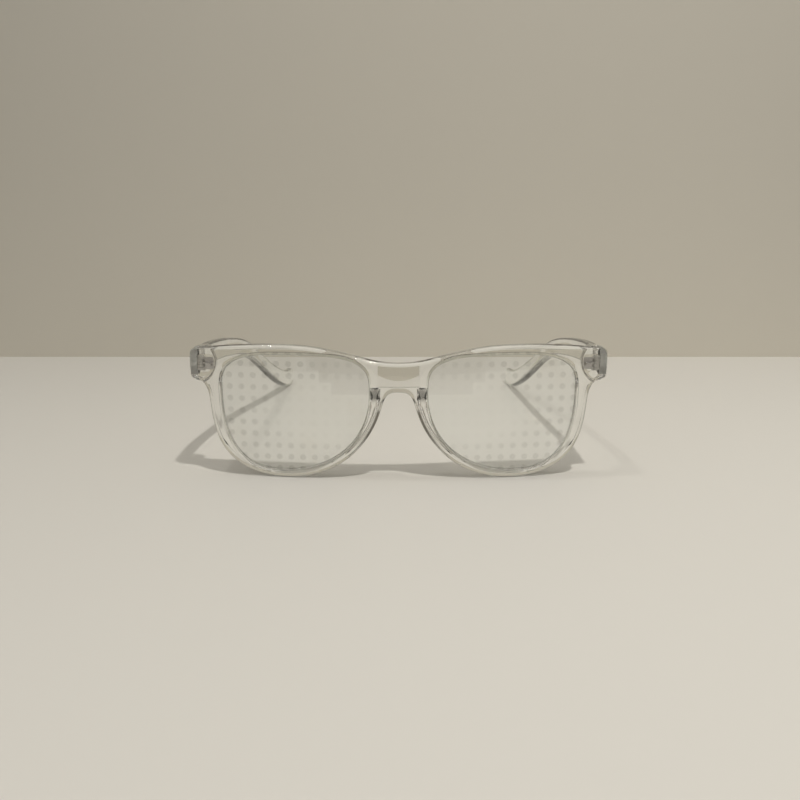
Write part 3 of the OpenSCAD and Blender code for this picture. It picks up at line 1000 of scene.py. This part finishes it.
@dataclass
class FrontFrame:
    """The front: both rims, the bridge, a block behind each end piece, and moulded nose pads.

    It is swept round the left lens as one ring of sections, cut open at the middle and
    mirrored. Widths on the rims' backs are distances from the lens opening.

    Attributes:
        lens: the left lens opening.
        block: the block behind the left end piece.
        pad: the left nose pad.
        hollow: the hollow behind the bridge.
        height: height over the table.
        rim_t: thickness of the rims.
        bend: radius to which the front is bent.
        bridge_drop: how far the bridge's top lies below the brow.
        arch: height of the nose arch's top.
        end_h: height of an end piece.
        edge_r: rounding of the outer edges.
        least_r: what is left of it at the back where the end block goes on.
        runs_out: distances, along X and out from the block's wall, over which it runs out.
        lens_edge_r: rounding of the edges at the lenses.
        groove_depth: depth of the groove for lens and film.
        lens_front: depth of the groove's front wall.
        film_back: depth of the groove's back wall.
        steps: sections between two control points of the outline.
        turn: degrees between two points of a rounded edge.
        back_points: numbers of points on a rim's back away from the pad and under it.
        past_middle: how far the left half reaches over the middle before it is cut.
        nose_spans: spans of the outline whose sections fan out at the nose.
        even_fan: part of their angles that is dealt out evenly.
        rim_widths: pairs of an angle round the lens and the rim's width there.
    """

    lens: LensOutline
    block: EndBlock
    pad: NosePad = NosePad()
    hollow: BridgeHollow = BridgeHollow()
    height: float = 48.2
    rim_t: float = 4.2
    bend: float = 400.0
    bridge_drop: float = 6.2
    arch: float = 31.7
    end_h: float = 13.1
    edge_r: float = 1.2
    least_r: float = 0.03
    runs_out: Span = (1.5, 2.0)
    lens_edge_r: float = 0.7
    groove_depth: float = 0.9
    lens_front: float = 1.5
    film_back: float = 2.7
    steps: int = 6
    turn: int = 15
    back_points: tuple[int, int] = (9, 19)
    past_middle: float = 4.0
    nose_spans: tuple[int, int] = (17, 26)
    even_fan: float = 0.45
    rim_widths: tuple[Span, ...] = (
        (196, 4.3), (205, 3.8), (216, 3.35), (228, 3.2), (241, 3.1), (255, 2.95), (270, 2.6),
        (284, 2.5), (297, 3.0), (309, 4.1), (321, 4.4), (334, 4.35), (347, 4.4), (358, 4.6))

    def layer_y(self, x: float | np.ndarray, depth: float) -> float | np.ndarray:
        """Y of a layer that lies a depth behind the front's bent face."""
        return self.bend - np.sqrt((self.bend - depth) ** 2 - np.square(x))

    def on_layer(self, at: np.ndarray, depth: float) -> np.ndarray:
        """The point of such a layer at an X and Z."""
        return np.array([at[0], self.layer_y(at[0], depth), at[1]])

    def outline(self) -> np.ndarray:
        """Draws the outline of the left half and a little past the middle.

        Returns:
            Rows of X and Z, up the end piece, along the brow and back round the rim.
        """
        half, top, bridge_top = HALF_WIDTH, self.height, self.height - self.bridge_drop
        low, past = top - self.end_h, self.past_middle
        end_piece = [
            (half - 4.6, low - 0.5), (half - 1.9, low + 0.1), (half - 0.2, low + 0.5),
            (half, low + 1.9), (half, low + 4.6), (half, low + 7.6), (half - 0.1, top - 3.5),
            (half - 0.7, top - 2.1), (half - 3.2, top - 1.7)]
        brow = [
            (66.5, top - 1.3), (60, top - 0.6), (53, top - 0.2), (46, top), (37, top),
            (29, top - 0.7), (21.5, top - 2.1), (15, top - 3.7)]
        bridge = [
            (10, bridge_top + 1.1), (5, bridge_top + 0.2), (0, bridge_top), (-past, bridge_top),
            (-past - 1, bridge_top - 5), (-past, self.arch), (0, self.arch), (2.6, self.arch),
            (4.6, self.arch - 1.4), (5.7, self.arch - 4.6)]
        rim = [self.lens.beside(angle, width) for angle, width in self.rim_widths]
        rows = np.array(end_piece + brow + bridge + rim, float)
        return spline_points(np.concatenate([rows, rows[:3]]), self.steps)

    def back_rounding(self, point: np.ndarray) -> float:
        """Finds the radius of the outer back edge, which runs out where the end block goes on.

        Args:
            point: a point of the outline, as X and Z.

        Returns:
            The radius there.
        """
        middle, r = self.block.middle, self.block.r
        off = np.linalg.norm(point - middle)
        beyond = rise(point[0], middle[0] - self.runs_out[0], middle[0])
        return self.edge_r * max(rise(off, r, r + self.runs_out[1]) - beyond, 0.0) + self.least_r

    def corner(self, at: np.ndarray, inward: np.ndarray, y: float, r: float,
               degrees: Sequence[float]) -> Rows:
        """Rounds a corner of a section.

        Args:
            at: the corner, as X and Z.
            inward: direction from it into the plastic.
            y: the corner's Y.
            r: radius, positive where the plastic lies behind the corner.
            degrees: angles of the points, 0 being the one furthest inward.

        Returns:
            Points of X, Y, Z.
        """
        out = []
        for t in np.radians(degrees):
            e = at + abs(r) * (1 - math.sin(t)) * inward
            out.append(np.array([e[0], y + r * (1 - math.cos(t)), e[1]]))
        return out

    def section_angles(self, outline: np.ndarray) -> np.ndarray:
        """Finds where the sections meet the lens, fanned out so that none cross at the nose.

        Args:
            outline: the outline's points.

        Returns:
            An angle round the lens for each of them.
        """
        angles = self.lens.angles_of(outline)
        first, last = self.nose_spans[0] * self.steps, self.nose_spans[1] * self.steps
        u = np.linspace(0.0, 1.0, last - first + 1)
        share = self.even_fan * u + (1 - self.even_fan) * u ** 6
        angles[first:last + 1] = angles[first] + (angles[last] - angles[first]) * share
        return angles

    def back_rows(self, start: np.ndarray, stop: np.ndarray, angle: float, room: float) -> Rows:
        """Draws the back of a section between its roundings, with the nose pad on it.

        Args:
            start: where the outer rounding ends, as X and Z.
            stop: where the rounding at the lens starts.
            angle: angle round the lens, in degrees from 0 to 360.
            room: distance of start from the opening.

        Returns:
            Points of X, Y, Z from start to stop.
        """
        # the points at both ends of the back keep a little off the roundings
        few, many = self.back_points
        near = np.linspace(min(self.pad.reach, room - 0.05), self.lens_edge_r + 0.04, many)
        far = np.linspace(room - 0.03, near[0], few)[:-1]
        span = max(np.linalg.norm(start - stop), 1e-6)
        out = []
        for width in np.concatenate([far, near]):
            e = stop + (start - stop) * np.clip((width - self.lens_edge_r) / span, 0, 1)
            pad = self.pad.height(e[1], angle, width, (self.lens_edge_r, room))
            out.append(np.array([e[0], self.layer_y(e[0], self.rim_t) + pad, e[1]]))
        return out

    def section(self, point: np.ndarray, inward: np.ndarray, angle: float) -> np.ndarray:
        """Draws a closed section of the front from an outline point to the lens opening.

        Args:
            point: the outline point, as X and Z.
            inward: direction into the front, square to the outline.
            angle: angle round the lens at which the section ends.

        Returns:
            Rows of X, Y, Z from the outer front edge round the back.
        """
        p, out = self.lens.edge(angle), self.lens.outwards(angle)
        start, stop = point + self.edge_r * inward, p + self.lens_edge_r * out
        turn = range(0, 91, self.turn)
        rows = self.corner(point, inward, self.layer_y(point[0], 0), self.edge_r, turn)
        rows += self.corner(point, inward, self.layer_y(point[0], self.rim_t),
                            -self.back_rounding(point), turn[::-1])
        rows += self.back_rows(start, stop, angle, np.linalg.norm(point - p) - self.edge_r)
        rows += self.corner(p, out, self.layer_y(p[0], self.rim_t), -self.lens_edge_r, turn)
        groove = p + self.groove_depth * out
        rows += [self.on_layer(at, depth) for at, depth in (
            (p, self.film_back), (groove, self.film_back), (groove, self.lens_front), (p, self.lens_front))]
        rows += self.corner(p, out, self.layer_y(p[0], 0), self.lens_edge_r, turn[::-1])
        rows += [self.on_layer(stop + (start - stop) * share, 0) for share in (0.2, 0.4, 0.6, 0.8)]
        return np.array(rows)

    def half_skin(self) -> bpy.types.Object:
        """Builds the left half.

        Returns:
            Its skin, open at the middle.
        """
        outline = self.outline()
        along = unit(np.roll(outline, -1, axis=0) - np.roll(outline, 1, axis=0))
        inward = np.stack([-along[:, 1], along[:, 0]], axis=-1)
        angles = self.section_angles(outline)
        half = skin("front_half", [self.section(*row) for row in zip(outline, inward, angles)], ring=True)
        shape = bmesh.new()
        shape.from_mesh(half.data)
        everything = shape.verts[:] + shape.edges[:] + shape.faces[:]
        bmesh.ops.bisect_plane(shape, geom=everything, dist=1e-5, plane_co=(0, 0, 0),
                               plane_no=(1, 0, 0), clear_inner=True)
        for vertex in shape.verts:
            if abs(vertex.co.x) < 2e-5:
                vertex.co.x = 0.0
        bmesh.ops.remove_doubles(shape, verts=shape.verts, dist=SAME_POINT)
        flat = [face for face in shape.faces if all(v.co.x == 0.0 for v in face.verts)]
        bmesh.ops.delete(shape, geom=flat, context="FACES")
        shape.to_mesh(half.data)
        shape.free()
        return half

    def both_halves(self) -> bpy.types.Object:
        """Builds the left half and joins its mirror image to it.

        Returns:
            The rims with the bridge, closed, without blocks, seats and hollow.
        """
        piece = self.half_skin()
        right = piece.data.copy()
        mirror(right)
        shape = bmesh.new()
        shape.from_mesh(piece.data)
        shape.from_mesh(right)
        seam = [v for v in shape.verts if v.co.x == 0.0]
        bmesh.ops.remove_doubles(shape, verts=seam, dist=SAME_POINT)
        shape.to_mesh(piece.data)
        shape.free()
        bpy.data.meshes.remove(right)
        return piece

    def build(self, material: bpy.types.Material) -> bpy.types.Object:
        """Builds and dresses the front.

        Args:
            material: its finish.

        Returns:
            The front as one closed mesh.
        """
        piece = self.both_halves()
        piece.name = piece.data.name = "front_moulding"
        outline = self.outline()
        for (left, cut), (right, _) in zip(self.block.tools(outline), self.block.tools(outline)):
            mirror(right.data)
            carve(piece, left, cut)
            carve(piece, right, cut)
        foot, top = self.arch + self.hollow.foot, self.height - self.bridge_drop - self.edge_r
        carve(piece, self.hollow.body(foot, top, self.layer_y(0, self.rim_t)), Cut.TAKE_AWAY)
        tidy_mesh(piece, SAME_POINT)
        dress(piece, material)
        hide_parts("front_frame")
        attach(piece, "front")
        return piece


@dataclass
class Sheet:
    """A bent sheet in the rim's groove: the lens, or the film behind it.

    Attributes:
        front: the front that holds it.
        near: depth of its front face.
        far: depth of its back face.
        past_edge: how far it reaches into the groove.
        turn: degrees between two points of its edge.
        rings: rings of points on each face, as shares of the way from the middle to the edge.
    """

    front: FrontFrame
    near: float
    far: float
    past_edge: float
    turn: float = 3.0
    rings: tuple[float, ...] = (1.0, 0.985, 0.9, 0.75, 0.6, 0.45, 0.3, 0.15)

    def build(self, name: str, side: Side) -> bpy.types.Object:
        """Builds one sheet.

        Args:
            name: the object's name.
            side: the side that it lies on.

        Returns:
            The sheet, closed round its edge.
        """
        rim = self.front.lens.beside(np.arange(0, 360, self.turn), self.past_edge)
        middle = self.front.lens.centre
        rows = []
        for depth, order in ((self.near, self.rings[::-1]), (self.far, self.rings)):
            for share in order:
                flat = middle + (rim - middle) * share
                rows.append(np.stack([flat[:, 0] * side.value, self.front.layer_y(flat[:, 0], depth),
                                      flat[:, 1]], axis=-1))
        made = skin(name, rows)
        made.data.shade_smooth()
        return made


@dataclass
class Lenses:
    """Both lenses and the diffraction film behind each.

    Attributes:
        front: the front that holds them.
        films: the two films' finishes.
        lens_t: thickness of a lens with its play.
        play: play in front of and behind a sheet.
        lens_grip: how much less than the groove's depth a lens reaches into it.
        film_grip: the same for a film.
        crease: angle in degrees from which their edges stay sharp.
    """

    front: FrontFrame
    films: tuple[DiffractionFilm, DiffractionFilm]
    lens_t: float = 1.0
    play: float = 0.03
    lens_grip: float = 0.1
    film_grip: float = 0.2
    crease: float = 60.0

    def build(self) -> list[bpy.types.Object]:
        """Builds and dresses the four sheets.

        Returns:
            The lens and the film of each side.
        """
        near, far, groove = self.front.lens_front, self.front.film_back, self.front.groove_depth
        lens_finish = LensSheet().material()
        lens = Sheet(self.front, near + self.play, near + self.lens_t - self.play, groove - self.lens_grip)
        film = Sheet(self.front, near + self.lens_t + self.play, far - self.play, groove - self.film_grip)
        out = []
        for finish in self.films:
            word = finish.side.word
            sheet = lens.build(f"lens_{word}_sheet", finish.side)
            dress(sheet, lens_finish, self.crease)
            layer = film.build(f"film_{word}_sheet", finish.side)
            dress(layer, finish.material(), self.crease)
            for piece, slot in ((sheet, "lens"), (layer, "film")):
                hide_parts(f"{slot}_{word}")
                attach(piece, "front")
                out.append(piece)
        return out


@dataclass
class Temple:
    """A temple: a flat clear arm that drops behind the ear to a rounded tip.

    Attributes:
        hinge: the left hinge.
        start_y: Y of the mitre face.
        over_leaf: how far the temple's middle lies over the leaf's at the mitre.
        thick: thickness at the mitre.
        high: height at the mitre.
        lean_in: how far the tip lies further in than the mitre.
        tip_r: radius of the tip.
        tip_level: length of the level part at the tip.
        tip_turn: angles of the sections round the tip.
        tip_edge: rounding of those sections as a share of their thickness.
        edge_r: rounding of the edges towards the mitre and towards the tip.
        edge_grows: distances behind the mitre over which the rounding grows.
        turn: degrees between two points of the rounding.
        bevel: width of the broken edge round the mitre face.
        bevel_r: rounding of the mitre face's corners inside it.
        steps: sections between two stations.
        past: how far the carving tools reach out of the moulding, sideways and forwards.
        gaps: room outside the leaf's plate, and behind the barrels over their own.
    """

    hinge: Hinge
    start_y: float = 14.55
    over_leaf: float = 0.3
    thick: float = 3.1
    high: float = 9.2
    lean_in: float = 14.0
    tip_r: float = 4.3
    tip_level: float = 13.0
    tip_turn: tuple[int, ...] = (12, 24, 36, 47, 57, 66, 74, 80, 85, 88)
    tip_edge: float = 0.45
    edge_r: Span = (0.9, 1.3)
    edge_grows: Span = (30.0, 80.0)
    turn: float = 11.25
    bevel: float = 0.12
    bevel_r: float = 0.8
    steps: int = 8
    past: Span = (3.0, 2.0)
    gaps: Span = (0.08, 0.3)

    @property
    def stations(self) -> np.ndarray:
        """Lists the stations along the temple.

        Returns:
            Rows of distance behind the mitre, share of the lean, height of the middle, height
            and thickness of the section.
        """
        run = OVERALL_DEPTH - self.start_y
        up = self.hinge.z + self.over_leaf - self.tip_r
        tip_h = 2 * self.tip_r - self.high
        rows = [
            (0, 0, 1, 0, 0), (12, 0, 1, -0.5, 0), (26, 0.11, 0.983, -1.5, 0.1),
            (41, 0.24, 0.925, -2.1, 0.1), (54, 0.35, 0.85, -2.4, 0.1), (66, 0.46, 0.726, -2.5, 0.2),
            (80, 0.58, 0.517, -2.4, 0.2), (95, 0.71, 0.301, -1.8, 0.2), (110, 0.84, 0.119, -1.0, 0.2),
            (run - self.tip_level, 0.93, 0.017, tip_h, 0), (run - self.tip_r, 1, 0, tip_h, 0)]
        return np.array([(d, lean, self.tip_r + k * up, self.high + dh, self.thick + dt)
                         for d, lean, k, dh, dt in rows])

    def middle(self, station: np.ndarray) -> np.ndarray:
        """Middle of the section at a station."""
        return np.array([HALF_WIDTH - self.thick / 2 - station[1] * self.lean_in,
                         self.start_y + station[0], station[2]])

    def section(self, at: np.ndarray, along: np.ndarray, high: float, thick: float, r: float) -> np.ndarray:
        """Draws a rounded section across the temple.

        Args:
            at: its middle.
            along: the temple's direction there.
            high: its height.
            thick: its thickness.
            r: rounding of its four corners.

        Returns:
            Rows of X, Y, Z.
        """
        up = unit(np.array([0.0, -along[2], along[1]]))
        side = np.cross(along, up)
        rows = []
        for kx, kz, first in ((1, 1, 0), (-1, 1, 90), (-1, -1, 180), (1, -1, 270)):
            for a in np.radians(np.arange(first, first + 91, self.turn)):
                rows.append(at + (kx * (thick / 2 - r) + r * math.cos(a)) * side
                            + (kz * (high / 2 - r) + r * math.sin(a)) * up)
        return np.array(rows)

    def sections(self) -> Rows:
        """Draws all sections.

        Returns:
            The sections from the mitre to the tip.
        """
        s = self.stations
        ends = np.concatenate([[2 * s[0] - s[1]], s, [2 * s[-1] - s[-2]]])
        line = np.concatenate([spline_points(ends, self.steps), [s[-1]]])
        middles = np.array([self.middle(row) for row in line])
        after = np.minimum(np.arange(len(line)) + 1, len(line) - 1)
        before = np.maximum(np.arange(len(line)) - 1, 0)
        along = unit(middles[after] - middles[before])
        least, grown = self.edge_r
        rows = []
        for at, way, (behind, _, _, high, thick) in zip(middles, along, line):
            r = least + (grown - least) * float(rise(behind, *self.edge_grows))
            rows.append(self.section(at, way, high, thick, r))
        at, way, (_, _, _, high, thick) = middles[0], along[0], line[0]
        bevel = self.bevel
        rows[0] = self.section(at + bevel * way, way, high, thick, least)
        rows.insert(0, self.section(at, way, high - 2 * bevel, thick - 2 * bevel, self.bevel_r))
        at, way, (_, _, _, high, thick) = middles[-1], along[-1], line[-1]
        for a in np.radians(self.tip_turn):
            h, t = high * math.cos(a), thick * math.sqrt(math.cos(a))
            r = self.tip_edge * min(h, t)
            rows.append(self.section(at + self.tip_r * math.sin(a) * way, way, h, t, r))
        return rows

    def build(self, side: Side, material: bpy.types.Material) -> bpy.types.Object:
        """Builds and dresses one temple.

        Args:
            side: the side that it is on.
            material: its finish.

        Returns:
            The temple as one closed mesh.
        """
        name = f"temple_{side.word}_moulding"
        piece = skin(name, self.sections())
        h = self.hinge
        sideways, forwards = self.past
        inner = HALF_WIDTH - self.thick - h.x
        start = h.barrel_r + h.room
        recess = h.recess((-sideways, -forwards), (inner + h.leaf_t + self.gaps[0], start + self.gaps[1]))
        carve(piece, recess, Cut.TAKE_AWAY)
        seat = h.seat((h.x - sideways, h.y + start + h.tight),
                      (h.x + inner + h.leaf_t - h.tight, h.y + h.temple_leaf_len - h.tight))
        carve(piece, seat, Cut.TAKE_AWAY)
        tidy_mesh(piece, SAME_POINT)
        if side is Side.RIGHT:
            mirror(piece.data)
        piece.name = piece.data.name = name
        dress(piece, material)
        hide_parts(f"temple_{side.word}")
        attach(piece, f"{side.word}_temple")
        return piece


@dataclass
class HingeMetal:
    """The hinge leaves and screws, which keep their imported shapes.

    Attributes:
        leaf: finish of the leaves.
        screw: finish of the screws.
        edge: width of their broken edges.
        segments: facets of a broken edge.
        bend: angle in degrees from which an edge is broken.
    """

    leaf: PlainMetal = PlainMetal("pressed_hinge_metal", (0.75, 0.73, 0.72), 0.4)
    screw: PlainMetal = PlainMetal("hinge_screw_metal", (0.75, 0.74, 0.73), 0.2)
    edge: float = 0.05
    segments: int = 2
    bend: float = 40.0

    def build(self) -> list[bpy.types.Object]:
        """Dresses the leaves and screws and breaks their edges.

        Returns:
            The six pieces.
        """
        leaf, screw = self.leaf.material(), self.screw.material()
        out = []
        for side in Side:
            for node, finish in ((f"front_leaf_{side.word}", leaf), (f"temple_leaf_{side.word}", leaf),
                                 (f"hinge_screw_{side.word}", screw)):
                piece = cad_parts[node]
                piece.data.materials.clear()
                piece.data.materials.append(finish)
                weld = piece.modifiers.new("weld", "WELD")
                weld.merge_threshold = SAME_POINT
                bevel = piece.modifiers.new("broken_edges", "BEVEL")
                bevel.width, bevel.segments = self.edge * MM, self.segments
                bevel.limit_method, bevel.angle_limit = "ANGLE", math.radians(self.bend)
                out.append(piece)
        return out


# The studio


@dataclass(frozen=True)
class Lamp:
    """A square soft light that looks at the glasses.

    Attributes:
        name: the lamp's name.
        place: where it hangs, in metres.
        size: side of its square, in metres.
        power: its power in watts.
        colour: its colour.
    """

    name: str
    place: tuple[float, float, float]
    size: float
    power: float
    colour: Colour = (1.0, 0.97, 0.92)

    def hang(self) -> None:
        """Adds the lamp to the scene."""
        light = bpy.data.lights.new(self.name, "AREA")
        light.size, light.energy, light.color = self.size, self.power, self.colour
        made = bpy.data.objects.new(self.name, light)
        made.location = self.place
        made.rotation_mode = "QUATERNION"
        made.rotation_quaternion = (-made.location).to_track_quat("-Z", "Y")
        bpy.context.scene.collection.objects.link(made)


@dataclass(frozen=True)
class Room:
    """The light that comes from all round, by height.

    Attributes:
        backdrop: what the camera sees, and what shows at the sides through clear pieces and in polish.
        floor: light from below the table.
        sides: light from the walls.
        upper: light from over the walls.
        ceiling: light from straight above.
    """

    backdrop: Colour = (0.42, 0.38, 0.315)
    floor: Colour = (0.02, 0.019, 0.017)
    sides: Colour = (0.09, 0.088, 0.08)
    upper: Colour = (0.52, 0.51, 0.49)
    ceiling: Colour = (1.35, 1.32, 1.25)

    def world(self) -> bpy.types.World:
        """Builds the light.

        Returns:
            The world that gives it.
        """
        s = Shader(bpy.data.worlds.new("room"))
        way = s.node("SeparateXYZ", None, {0: s.value("TexCoord", output="Generated")})
        z = Value(s, way.outputs["Z"])
        rays = s.node("LightPath")
        camera, through, mirrored = (Value(s, rays.outputs[f"Is {kind} Ray"])
                                     for kind in ("Camera", "Transmission", "Glossy"))
        over_floor = z.ramp(-0.06, 0.03)
        around = s.mix(over_floor, self.floor, self.sides)
        low = s.mix((camera + through + mirrored * over_floor).clamped(), around, self.backdrop)
        high = s.mix(z.ramp(0.84, 0.94), self.upper, self.ceiling)
        shown = s.mix(z.ramp(0.35, 0.75) * (1.0 - camera), low, high)
        background = s.node("Background", None, {"Color": shown})
        return s.finish(background.outputs[0])


@dataclass
class Studio:
    """Table, wall, lamps, room light and camera, in metres.

    Attributes:
        table_half: half the table's width.
        table_front: Y of the table's front end.
        table_back: Y of its back end, where the wall stands.
        wall_half: half the wall's width.
        wall_low: height of the wall's lower end.
        wall_high: height of its upper end.
        table_paint: finish of the table.
        wall_paint: finish of the wall.
        lamps: the lamps.
        room: the room's light.
        camera_place: where the camera stands.
        camera_pitch: how many degrees it looks down.
        camera_lens: its focal length, and the width of its picture, in millimetres.
    """

    table_half: float = 0.36
    table_front: float = -0.236
    table_back: float = 0.1415
    wall_half: float = 0.4
    wall_low: float = -0.1
    wall_high: float = 0.9
    table_paint: PaintedSurface = PaintedSurface("pale_table", (0.67, 0.65, 0.605), 0.5, painted_shade_left=0.87)
    wall_paint: PaintedSurface = PaintedSurface("greige_wall", (0.75, 0.71, 0.62), 0.8,
                                                see_through_behind=True)
    lamps: tuple[Lamp, ...] = (
        Lamp("key_lamp", (0.15, -0.31, 0.88), 0.03, 3.5),
        Lamp("second_lamp", (-0.62, 0.0, 2.0), 0.1, 3.2),
    )
    room: Room = Room()
    camera_place: tuple[float, float, float] = (0.0005, -0.3448, 0.1004)
    camera_pitch: float = 14.75
    camera_lens: Span = (36.0, 36.0)

    def plane(self, name: str, corners: Sequence[Sequence[float]], finish: PaintedSurface) -> None:
        """Adds a flat piece of the stage.

        Args:
            name: the object's name.
            corners: its four corners in turn.
            finish: its finish.
        """
        mesh = bpy.data.meshes.new(name)
        mesh.from_pydata([list(c) for c in corners], [], [(0, 1, 2, 3)])
        mesh.materials.append(finish.material())
        made = bpy.data.objects.new(name, mesh)
        bpy.context.scene.collection.objects.link(made)

    def aim_camera(self) -> None:
        """Adds the camera and makes it the scene's own."""
        camera = bpy.data.cameras.new("camera")
        camera.lens, camera.sensor_width = self.camera_lens
        made = bpy.data.objects.new("camera", camera)
        made.location = self.camera_place
        made.rotation_euler = (math.radians(90 - self.camera_pitch), 0.0, 0.0)
        bpy.context.scene.collection.objects.link(made)
        bpy.context.scene.camera = made

    def build(self) -> None:
        """Builds the stage, the lights and the camera."""
        half, front, back = self.table_half, self.table_front, self.table_back
        self.plane("table_top", ((-half, front, 0), (half, front, 0), (half, back, 0), (-half, back, 0)),
                   self.table_paint)
        half, low, high = self.wall_half, self.wall_low, self.wall_high
        self.plane("wall", ((-half, back, low), (half, back, low), (half, back, high), (-half, back, high)),
                   self.wall_paint)
        for lamp in self.lamps:
            lamp.hang()
        bpy.context.scene.world = self.room.world()
        self.aim_camera()
        bpy.context.scene.view_settings.view_transform = "Standard"


def main() -> None:
    """Builds the glasses piece by piece, then the stage."""
    logging.basicConfig(level=logging.INFO, format="%(name)s: %(message)s")
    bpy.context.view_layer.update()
    plastic = ClearPlastic().material()
    hinge = Hinge()
    front = FrontFrame(LensOutline(), EndBlock(hinge))
    films = (DiffractionFilm(Side.LEFT, column=28.25, haze=0.03),
             DiffractionFilm(Side.RIGHT, column=25.85, haze=0.05))
    pieces = [front.build(plastic)]
    pieces += Lenses(front, films).build()
    pieces += [Temple(hinge).build(side, plastic) for side in Side]
    pieces += HingeMetal().build()
    for piece in pieces:
        log.info("%s has %d faces", piece.name, len(piece.data.polygons))
    Studio().build()


if __name__ == "__main__":
    main()
